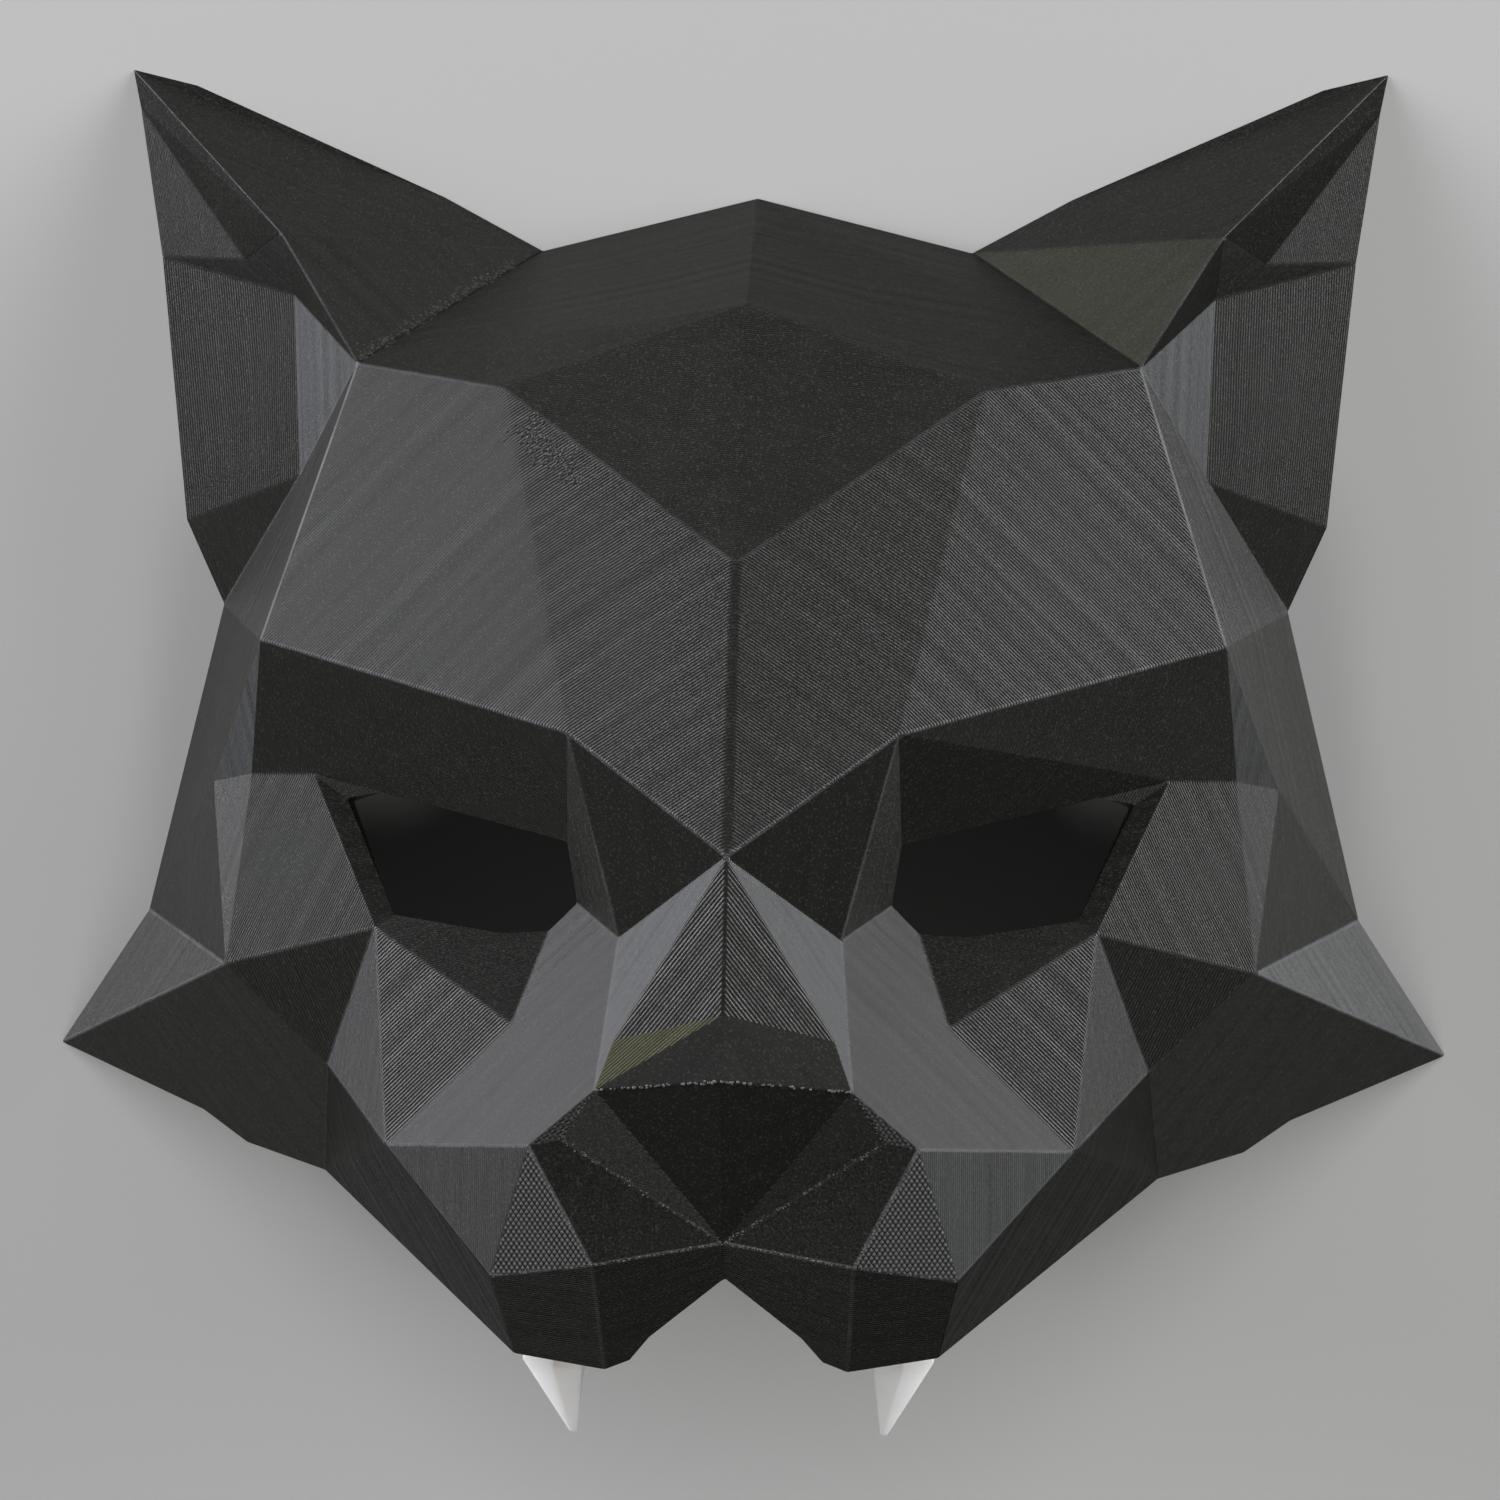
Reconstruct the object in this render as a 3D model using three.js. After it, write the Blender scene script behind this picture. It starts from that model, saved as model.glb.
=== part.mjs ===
// Geometric cat mask: one printed shell of flat faces, and two fangs seated behind its lip.
// Millimetres. The mask lies on its flat back rim with the face towards +Z and the ears towards +Y.
// The mid-plane is x = 0, the back rim is z = 0, and y = 0 is half way from ear tips to fang tips.

import * as THREE from "three";

// Driving sizes
const HALF_WIDTH = 90.4;
const HALF_HEIGHT = 86.5;
const DEPTH = 77;
const WALL = 2.4;
const FANG_REACH = HALF_HEIGHT;

// Corners of the right half, by region.
// Columns: corner, across from the mid-plane, up the face, forward of the back rim.
const CROWN = [
  ["crown_peak", 0, 70, 0],
  ["crown_mid", 0, 54.5, 27.5],
  ["forehead_peak", 0, 21, 53],
  ["forehead_upper", 30.5, 43.5, 33],
  ["brow_outer", 61, 11.5, 34],
  ["brow_inner", 20.5, 0, 56.5],
];

const EAR = [
  ["ear_tip", 82, HALF_HEIGHT, 0],
  ["ear_top_bend", 73.5, 84.5, 0],
  ["ear_top_mid", 41, 70, 0],
  ["ear_notch", 28, 63, 0],
  ["ear_outer_bend", 81, 81.5, 0],
  ["ear_fold_rim", 78, 62, 0],
  ["ear_low", 74.5, 27.5, 0],
  ["ear_temple", 69.5, 16.5, 0],
  ["ear_front_bend", 60.5, 64, 18.5],
  ["ear_base", 50, 47, 23.3],
  ["ear_fold", 66, 61, 10],
  ["ear_pit", 59.5, 56.5, 11],
  ["ear_root", 58.5, 33, 11.2],
];

const EYE = [
  ["brow_low", 62.5, -5.5, 29],
  ["eye_top_outer", 54, -5.5, 34.5],
  ["lid_outer", 45, -24.5, 46],
  ["lid_low", 27, -36, 57.2],
  ["lid_mid", 23, -24.6, 49],
  ["eye_inner", 13.7, -25.3, 59],
  ["hole_lid", 45, -7.7, 38.7],
  ["hole_top_outer", 49.5, -8.5, 36],
  ["hole_low_outer", 42.6, -22.9, 44.8],
  ["hole_low_mid", 28.7, -25, 48.5],
  ["hole_inner", 19.6, -21.2, 48.6],
  ["hole_top_inner", 20.8, -13.6, 49.7],
];

const CHEEK = [
  ["temple_fold", 68, -6.5, 23.5],
  ["temple_low", 79, -23.5, 0],
  ["cheek_inner", 65, -29.5, 34.8],
  ["cheek_tip", HALF_WIDTH, -41, 0],
  ["cheek_low", 51.5, -42, 38.5],
  ["cheek_muzzle", 42.5, -51, 57.2],
  ["jaw_bend_outer", 70, -49, 14],
  ["jaw_bend_inner", 64, -53, 17],
  ["jaw_corner", 53, -56, 25.8],
];

const MUZZLE = [
  ["bridge_top", 0, -15, 70],
  ["nose_ridge", 0, -34, 75.6],
  ["nose_tip", 0, -42, DEPTH],
  ["nose_side_low", 13.4, -37.3, 71.6],
  ["nose_top_corner", 15.6, -43.3, 73.5],
  ["nose_wing", 19.7, -49.4, 71.8],
  ["muzzle_top", 23.7, -50.2, 72.4],
  ["muzzle_low", 28.5, -66.3, 68.6],
  ["lip_mid", 0, -62, 68.9],
  ["lip_corner", 15.9, -64.7, 71.2],
  ["rim_mid", 0, -66.5, 65.5],
  ["rim_bend_high", 9.3, -74, 62.3],
  ["rim_bend_low", 11.8, -77, 60.5],
  ["muzzle_bottom", 14.9, -78.2, 60.6],
  ["rim_fang_outer", 26, -76.3, 61],
];

// Flat faces of the right half. Each is a loop of corners, fanned from its first corner.
const FACES = [
  // Crown and forehead
  ["ear_notch", "crown_peak", "crown_mid", "forehead_upper"],
  ["ear_notch", "forehead_upper", "ear_base"],
  ["crown_mid", "forehead_upper", "forehead_peak"],
  ["ear_base", "brow_outer", "brow_inner", "forehead_upper"],
  ["forehead_peak", "forehead_upper", "brow_inner", "bridge_top"],
  // Ear
  ["ear_front_bend", "ear_notch", "ear_top_mid", "ear_top_bend", "ear_tip"],
  ["ear_notch", "ear_front_bend", "ear_base"],
  ["ear_front_bend", "ear_tip", "ear_outer_bend", "ear_fold", "ear_pit", "ear_base"],
  ["ear_outer_bend", "ear_fold_rim", "ear_fold"],
  ["ear_fold_rim", "ear_pit", "ear_fold"],
  ["ear_pit", "ear_fold_rim", "ear_low", "ear_root"],
  ["ear_pit", "ear_root", "ear_base"],
  ["ear_low", "ear_temple", "ear_root"],
  // Temple and cheek
  ["brow_outer", "ear_base", "ear_root", "ear_temple"],
  ["temple_fold", "brow_outer", "ear_temple", "temple_low"],
  ["brow_outer", "temple_fold", "brow_low"],
  ["brow_low", "temple_fold", "cheek_inner"],
  ["temple_fold", "temple_low", "cheek_inner"],
  ["temple_low", "cheek_tip", "cheek_inner"],
  ["cheek_low", "lid_outer", "cheek_inner"],
  ["cheek_low", "cheek_inner", "cheek_tip", "jaw_bend_outer", "jaw_bend_inner", "jaw_corner"],
  ["lid_outer", "cheek_muzzle", "lid_low"],
  ["lid_outer", "cheek_low", "cheek_muzzle"],
  ["cheek_low", "jaw_corner", "cheek_muzzle"],
  ["cheek_muzzle", "jaw_corner", "rim_fang_outer", "muzzle_low"],
  // Brow, eye socket and lids
  ["eye_top_outer", "brow_inner", "brow_outer", "brow_low"],
  ["brow_inner", "hole_top_inner", "hole_lid", "eye_top_outer"],
  ["eye_top_outer", "hole_lid", "hole_top_outer"],
  ["eye_top_outer", "hole_top_outer", "hole_low_outer", "lid_outer"],
  ["eye_top_outer", "brow_low", "cheek_inner", "lid_outer"],
  ["brow_inner", "eye_inner", "bridge_top"],
  ["eye_inner", "brow_inner", "hole_top_inner", "hole_inner"],
  ["eye_inner", "hole_inner", "lid_mid", "lid_low"],
  ["lid_low", "lid_mid", "hole_low_mid", "hole_low_outer", "lid_outer"],
  // Nose and muzzle
  ["eye_inner", "bridge_top", "nose_side_low", "nose_top_corner"],
  ["bridge_top", "nose_side_low", "nose_ridge"],
  ["nose_ridge", "nose_side_low", "nose_top_corner"],
  ["nose_ridge", "nose_top_corner", "nose_tip"],
  ["nose_tip", "nose_top_corner", "lip_mid"],
  ["nose_top_corner", "nose_wing", "lip_mid"],
  ["nose_top_corner", "muzzle_top", "nose_wing"],
  ["muzzle_top", "nose_top_corner", "eye_inner", "lid_low", "cheek_muzzle"],
  ["muzzle_top", "cheek_muzzle", "muzzle_low"],
  ["muzzle_top", "muzzle_low", "lip_corner"],
  ["muzzle_top", "lip_corner", "lip_mid", "nose_wing"],
  ["lip_corner", "muzzle_low", "rim_fang_outer", "muzzle_bottom"],
  ["lip_corner", "muzzle_bottom", "rim_bend_low", "rim_bend_high", "rim_mid", "lip_mid"],
];

// The hollow behind an ear is a plain ridge, so the thin ear floor is printed solid.
// Columns as above: these corners of the hollow lie behind the outer corners of the same name.
const EAR_HOLLOW = [
  ["ear_tip", 75.5, 79.5, 0],
  ["ear_front_bend", 60.5, 64, 14.5],
  ["ear_fold", 66.5, 60.5, 0],
  ["ear_pit", 52, 54.5, 0],
];

// Outer corners that have no corner of their own in the hollow, and the one that they share.
const SHARED_IN_HOLLOW = {
  ear_top_bend: "ear_tip",
  ear_outer_bend: "ear_tip",
  ear_fold_rim: "ear_fold",
  ear_low: "ear_pit",
  ear_root: "ear_pit",
  nose_wing: "muzzle_top",
  rim_bend_low: "muzzle_bottom",
};

// Fang sections from root to tip. The collar follows the slope of the lip's rim.
// Columns: section, inner and outer edge across, inner and outer edge up, front, back, ridge height.
const FANG = [
  ["root", 18, 22, -70, -70, 62, 56.5, 0],
  ["collar", 18, 25.4, -78.8, -77.2, 56, 51, 1],
  ["tip", 18.8, 19.6, -FANG_REACH, -FANG_REACH, 52.9, 52.1, 0],
];

const BLACK_PRINT = { color: 0x1b1b1a, roughness: 0.55, metalness: 0 };
const WHITE_PRINT = { color: 0xe9e6df, roughness: 0.5, metalness: 0 };

// Damping of the least-squares wall offset.
const OFFSET_DAMPING = 0.02;

function cornerMap(rows) {
  return new Map(rows.map(([name, across, up, forward]) => [name, new THREE.Vector3(across, up, forward)]));
}

function faceNormal(loop, corners) {
  const normal = new THREE.Vector3();
  const origin = corners.get(loop[0]);
  for (let i = 1; i + 1 < loop.length; i += 1) {
    const a = corners.get(loop[i]).clone().sub(origin);
    const b = corners.get(loop[i + 1]).clone().sub(origin);
    normal.add(a.cross(b));
  }
  return normal.normalize();
}

// Every face looks forward, so a loop whose normal looks back is turned round.
function forwardFaces(loops, corners) {
  return loops.map((loop) => {
    const looksForward = faceNormal(loop, corners).z > 0;
    return looksForward ? loop : [loop[0], ...loop.slice(1).reverse()];
  });
}

// The offset d of a corner solves n . d = -WALL for its faces' normals n, in the least-squares sense.
// A corner of the back rim moves in the rim's own plane.
function wallOffset(normals, staysOnRim) {
  const m = [OFFSET_DAMPING, 0, 0, 0, OFFSET_DAMPING, 0, 0, 0, OFFSET_DAMPING];
  const target = new THREE.Vector3();
  for (const normal of normals) {
    const n = [normal.x, normal.y, staysOnRim ? 0 : normal.z];
    for (let row = 0; row < 3; row += 1) {
      for (let column = 0; column < 3; column += 1) m[3 * row + column] += n[row] * n[column];
    }
    target.addScaledVector(new THREE.Vector3(...n), -WALL);
  }
  return target.applyMatrix3(new THREE.Matrix3(...m).invert());
}

function hollowCorners(faces, corners) {
  const fixed = cornerMap(EAR_HOLLOW);
  const hollow = new Map();
  for (const [name, corner] of corners) {
    if (name in SHARED_IN_HOLLOW) continue;
    if (fixed.has(name)) {
      hollow.set(name, fixed.get(name));
      continue;
    }
    const normals = faces.filter((loop) => loop.includes(name)).map((loop) => faceNormal(loop, corners));
    if (corner.x === 0) {
      normals.push(...normals.map((n) => new THREE.Vector3(-n.x, n.y, n.z)));
    }
    hollow.set(name, corner.clone().add(wallOffset(normals, corner.z === 0)));
  }
  return hollow;
}

// Collects shared points by key and triangles by key, leaving out triangles that have closed up.
class FacetedSolid {
  constructor() {
    this.indices = new Map();
    this.positions = [];
    this.triangles = [];
  }

  point(key, position) {
    if (!this.indices.has(key)) {
      this.indices.set(key, this.positions.length / 3);
      this.positions.push(position.x, position.y, position.z);
    }
    return this.indices.get(key);
  }

  triangle(a, b, c) {
    if (a !== b && b !== c && c !== a) this.triangles.push(a, b, c);
  }

  fan(points) {
    for (let i = 1; i + 1 < points.length; i += 1) this.triangle(points[0], points[i], points[i + 1]);
  }

  geometry() {
    const geometry = new THREE.BufferGeometry();
    geometry.setAttribute("position", new THREE.Float32BufferAttribute(this.positions, 3));
    geometry.setIndex(this.triangles);
    geometry.computeVertexNormals();
    return geometry;
  }
}

// Key of a corner on one side: mid-plane corners are shared by both halves.
function sideKey(skin, name, corner, side) {
  return corner.x === 0 ? `${skin} ${name}` : `${skin} ${name} ${side}`;
}

function onSide(corner, side) {
  return new THREE.Vector3(corner.x * side, corner.y, corner.z);
}

function shellGeometry() {
  const corners = cornerMap([...CROWN, ...EAR, ...EYE, ...CHEEK, ...MUZZLE]);
  const faces = forwardFaces(FACES, corners);
  const hollow = hollowCorners(faces, corners);
  const solid = new FacetedSolid();
  const outerPoint = (name, side) => {
    const corner = corners.get(name);
    return solid.point(sideKey("outer", name, corner, side), onSide(corner, side));
  };
  const innerPoint = (name, side) => {
    const own = SHARED_IN_HOLLOW[name] ?? name;
    const corner = hollow.get(own);
    return solid.point(sideKey("inner", own, corners.get(own), side), onSide(corner, side));
  };
  const edges = new Map();
  for (const side of [1, -1]) {
    for (const face of faces) {
      const loop = side > 0 ? face : [face[0], ...face.slice(1).reverse()];
      const outer = loop.map((name) => outerPoint(name, side));
      const inner = loop.map((name) => innerPoint(name, side));
      solid.fan(outer);
      solid.fan([inner[0], ...inner.slice(1).reverse()]);
      outer.forEach((a, i) => {
        const next = (i + 1) % outer.length;
        edges.set(`${a} ${outer[next]}`, [a, outer[next], inner[next], inner[i]]);
      });
    }
  }
  // An edge with one face is a rim: a strip of wall joins the two skins there.
  for (const [a, b, innerB, innerA] of edges.values()) {
    if (edges.has(`${b} ${a}`)) continue;
    solid.triangle(b, a, innerA);
    solid.triangle(b, innerA, innerB);
  }
  return solid.geometry();
}

// A fang has five long edges: two at the back, two at the front and a low ridge between those.
function fangGeometry(side) {
  const solid = new FacetedSolid();
  const rings = FANG.map(([section, inner, outer, innerUp, outerUp, front, back, ridge]) => {
    const ring = [
      [inner, innerUp, back],
      [outer, outerUp, back],
      [outer, outerUp, front],
      [(inner + outer) / 2, (innerUp + outerUp) / 2, front + ridge],
      [inner, innerUp, front],
    ];
    return ring.map(([across, up, forward], i) =>
      solid.point(`${section} ${i}`, new THREE.Vector3(across * side, up, forward)));
  });
  const turn = (loop) => (side > 0 ? loop : [...loop].reverse());
  rings.slice(1).forEach((ring, level) => {
    const above = rings[level];
    ring.forEach((point, i) => {
      const next = (i + 1) % ring.length;
      solid.fan(turn([above[i], above[next], ring[next], point]));
    });
  });
  solid.fan(turn([...rings[0]].reverse()));
  solid.fan(turn(rings[rings.length - 1]));
  return solid.geometry();
}

function namedMesh(name, geometry, finish) {
  const material = new THREE.MeshStandardMaterial({ ...finish, flatShading: true });
  const mesh = new THREE.Mesh(geometry, material);
  mesh.name = name;
  return mesh;
}

const mask = new THREE.Group();
mask.add(namedMesh("mask_shell", shellGeometry(), BLACK_PRINT));
mask.add(namedMesh("fang_right", fangGeometry(1), WHITE_PRINT));
mask.add(namedMesh("fang_left", fangGeometry(-1), WHITE_PRINT));

export default mask;
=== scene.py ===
"""Geometric cat mask: a black printed shell of flat facets with two white fangs, lying on its back rim."""

import logging
import math
import random
from dataclasses import dataclass
from enum import Enum
from typing import Any

import bmesh
import bpy
from mathutils import Matrix, Vector
from mathutils.bvhtree import BVHTree
from mathutils.geometry import intersect_point_line


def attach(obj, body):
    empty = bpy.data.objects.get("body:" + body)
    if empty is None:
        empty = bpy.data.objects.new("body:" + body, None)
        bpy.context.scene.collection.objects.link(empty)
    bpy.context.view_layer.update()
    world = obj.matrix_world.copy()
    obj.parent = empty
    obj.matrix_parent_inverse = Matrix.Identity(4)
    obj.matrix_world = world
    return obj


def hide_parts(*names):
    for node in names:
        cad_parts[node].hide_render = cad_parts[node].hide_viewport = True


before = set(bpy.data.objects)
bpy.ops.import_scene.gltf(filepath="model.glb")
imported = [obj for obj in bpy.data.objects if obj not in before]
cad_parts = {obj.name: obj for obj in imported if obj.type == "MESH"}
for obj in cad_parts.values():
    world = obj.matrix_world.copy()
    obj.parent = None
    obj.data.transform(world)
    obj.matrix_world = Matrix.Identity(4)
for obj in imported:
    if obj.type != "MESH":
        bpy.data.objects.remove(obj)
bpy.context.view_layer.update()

log = logging.getLogger("cat_mask")

MM = 0.001
ROOT = "root"
UP = (0.0, 0.0, 1.0)
# Middle of every pattern that runs from 0 to 1.
HALF = 0.5
# Points closer than the first are merged, and edges shorter than the second are dropped.
MERGE_M = 0.02 * MM
LEAST_EDGE_M = 0.004 * MM
ROUNDING_SEGMENTS = 3
# Sockets of shader nodes that are known by number.
OBJECT_OUTPUT = 3
NORMAL_OUTPUT = 1
FACTOR_OUTPUT = 2
COLOUR_OUTPUT = 2
MIX_INPUTS = (0, 6, 7)
Point = tuple[float, float, float]
Colour = tuple[float, float, float]


class Slot(Enum):
    """Material slots of the record."""

    BLACK = "black_print"
    WHITE = "white_print"


class Side(Enum):
    """The two halves of the face, as signs of x."""

    RIGHT = 1
    LEFT = -1


BOTH = (Side.RIGHT, Side.LEFT)


class Look(Enum):
    """Ways in which a facet differs, kept on the mesh under these names: matt and hatch are the print's
    own, olive is a painted reflection, pale a painted highlight, shade a painted shade through a dark
    metallic finish, and edge a painted highlight on rounded ridges.
    """

    OLIVE = "olive"
    PALE = "pale"
    MATT = "matt"
    HATCH = "hatch"
    SHADE = "shade"
    EDGE = "edge"


class Value:
    """A shader socket that takes part in Python expressions by adding Math nodes."""

    def __init__(self, sheet: "Sheet", socket: bpy.types.NodeSocket) -> None:
        """Keep the socket and the sheet that new nodes go to."""
        self.sheet = sheet
        self.socket = socket

    def math(self, operation: str, *others: Any) -> "Value":
        """Add one Math node.

        Args:
            operation: Name of the Math node's operation.
            others: Further inputs after this value.

        Returns:
            The node's result.
        """
        sockets = dict(enumerate((self, *others)))
        return self.sheet.node("ShaderNodeMath", {"operation": operation}, sockets)[0]

    def __add__(self, other: Any) -> "Value":
        """Sum."""
        return self.math("ADD", other)

    __radd__ = __add__

    def __mul__(self, other: Any) -> "Value":
        """Product."""
        return self.math("MULTIPLY", other)

    __rmul__ = __mul__

    def __sub__(self, other: Any) -> "Value":
        """Difference."""
        return self.math("SUBTRACT", other)

    def __rsub__(self, other: Any) -> "Value":
        """Difference with this value taken away."""
        return (self * -1.0) + other

    def __truediv__(self, other: Any) -> "Value":
        """Quotient."""
        return self.math("DIVIDE", other)

    def fract(self) -> "Value":
        """Fractional part."""
        return self.math("FRACT")

    def floor(self) -> "Value":
        """Whole part."""
        return self.math("FLOOR")

    def between(self, low: float, high: float) -> "Value":
        """Smooth step from 0 to 1.

        Args:
            low: Value up to which the step is 0.
            high: Value from which the step is 1.

        Returns:
            The step.
        """
        settings = {"interpolation_type": "SMOOTHSTEP"}
        sockets = dict(enumerate((self, low, high, 0.0, 1.0)))
        return self.sheet.node("ShaderNodeMapRange", settings, sockets)[0]


class Sheet:
    """The node sheet of one material, with a Principled shader at its end."""

    def __init__(self, name: str) -> None:
        """Start an empty sheet.

        Args:
            name: Name of the material.
        """
        self.material = bpy.data.materials.new(name)
        self.material.use_nodes = True
        self.tree = self.material.node_tree
        self.tree.nodes.clear()
        self.shader = self.tree.nodes.new("ShaderNodeBsdfPrincipled")
        output = self.tree.nodes.new("ShaderNodeOutputMaterial")
        self.tree.links.new(self.shader.outputs[0], output.inputs[0])

    def node(self, kind: str, settings: dict[str, Any], sockets: dict[Any, Any]) -> list[Value]:
        """Add a node, set it up and feed its sockets.

        Args:
            kind: Type name of the node.
            settings: Properties of the node, set before its sockets.
            sockets: Values or links by socket name or number.

        Returns:
            The node's outputs as values.
        """
        node = self.tree.nodes.new(kind)
        for name, setting in settings.items():
            setattr(node, name, setting)
        self.feed(node, sockets)
        return [Value(self, socket) for socket in node.outputs]

    def feed(self, node: bpy.types.Node, sockets: dict[Any, Any]) -> None:
        """Set or link a node's input sockets.

        Args:
            node: The node.
            sockets: Values or links by socket name or number.
        """
        for key, value in sockets.items():
            if isinstance(value, Value):
                self.tree.links.new(value.socket, node.inputs[key])
            else:
                node.inputs[key].default_value = value

    def finish(self, **sockets: Any) -> bpy.types.Material:
        """Feed the Principled shader.

        Args:
            sockets: Values or links by socket name, with underscores for spaces.

        Returns:
            The finished material.
        """
        self.feed(self.shader, {name.replace("_", " "): value for name, value in sockets.items()})
        return self.material

    def place(self) -> tuple[Value, Value, Value, Value]:
        """Read the object coordinates.

        Returns:
            The coordinates as a vector and as x, y and z, in metres.
        """
        vector = self.node("ShaderNodeTexCoord", {}, {})[OBJECT_OUTPUT]
        x, y, z = self.node("ShaderNodeSeparateXYZ", {}, {0: vector})
        return vector, x, y, z

    def noise(self, vector: Value, grain_m: float, detail: float = 2.0) -> Value:
        """Noise with a given grain size.

        Args:
            vector: Coordinates in metres.
            grain_m: Size of the grain.
            detail: Octaves.

        Returns:
            Noise from 0 to 1.
        """
        sockets = {"Vector": vector, "Scale": 1.0 / grain_m, "Detail": detail, "Roughness": 0.6}
        return self.node("ShaderNodeTexNoise", {}, sockets)[0]

    def attribute(self, name: str) -> Value:
        """A number kept on the mesh."""
        return self.node("ShaderNodeAttribute", {"attribute_name": name}, {})[FACTOR_OUTPUT]

    def mix(self, factor: Any, first: Any, second: Any) -> Value:
        """Mix two colours.

        Args:
            factor: Share of the second colour.
            first: First colour.
            second: Second colour.

        Returns:
            The mixed colour.
        """
        colours = [(*c, 1.0) if isinstance(c, tuple) else c for c in (first, second)]
        sockets = dict(zip(MIX_INPUTS, (factor, *colours)))
        settings = {"data_type": "RGBA", "clamp_factor": True}
        return self.node("ShaderNodeMix", settings, sockets)[COLOUR_OUTPUT]

    def vector(self, operation: str, *inputs: Any, scale: Any = None) -> list[Value]:
        """Add one Vector Math node.

        Args:
            operation: Name of the operation.
            inputs: Vectors, in the node's order.
            scale: Factor of a SCALE node.

        Returns:
            The vector result and the number result.
        """
        sockets = dict(enumerate(inputs))
        if scale is not None:
            sockets["Scale"] = scale
        return self.node("ShaderNodeVectorMath", {"operation": operation}, sockets)

    def facing(self, way: Point) -> Value:
        """How far the surface faces a direction, from -1 to 1."""
        normal = self.node("ShaderNodeNewGeometry", {}, {})[NORMAL_OUTPUT]
        return self.vector("DOT_PRODUCT", normal, way)[1]

    def grooved_normal(self, tilt: Value, across: Point, more: list[Value]) -> Value:
        """Tilt the surface normal along the way that layers follow each other.

        Args:
            tilt: Tangent of the tilt, positive towards the next layer.
            across: Direction in which the layers are stacked.
            more: Further changes of the normal.

        Returns:
            The tilted normal.
        """
        normal = self.node("ShaderNodeNewGeometry", {}, {})[NORMAL_OUTPUT]
        along = self.vector("DOT_PRODUCT", normal, across)[1]
        lean = self.vector("SCALE", normal, scale=along)[0]
        rise = self.vector("NORMALIZE", self.vector("SUBTRACT", across, lean)[0])[0]
        tilted = self.vector("ADD", normal, self.vector("SCALE", rise, scale=tilt)[0])[0]
        for change in more:
            tilted = self.vector("ADD", tilted, change)[0]
        return self.vector("NORMALIZE", tilted)[0]


@dataclass(frozen=True)
class Swing:
    """How far each pattern of the print moves a value to either side of its middle."""

    middle: float = 0.0
    speckle: float = 0.0
    layer: float = 0.0
    band: float = 0.0
    cloud: float = 0.0


@dataclass(frozen=True)
class Pattern:
    """Patterns of a print, from 0 to 1: fine grain, single layers, bands of layers and large clouds."""

    speckle: Value
    layer: Value
    band: Value
    cloud: Value

    def swing(self, by: Swing) -> Value:
        """Move a value with the patterns.

        Args:
            by: Its middle and how far each pattern moves it.

        Returns:
            The moving value.
        """
        pairs = (
            (self.speckle, by.speckle),
            (self.layer, by.layer),
            (self.band, by.band),
            (self.cloud, by.cloud),
        )
        return sum((pattern - HALF) * weight for pattern, weight in pairs if weight) + by.middle


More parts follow.
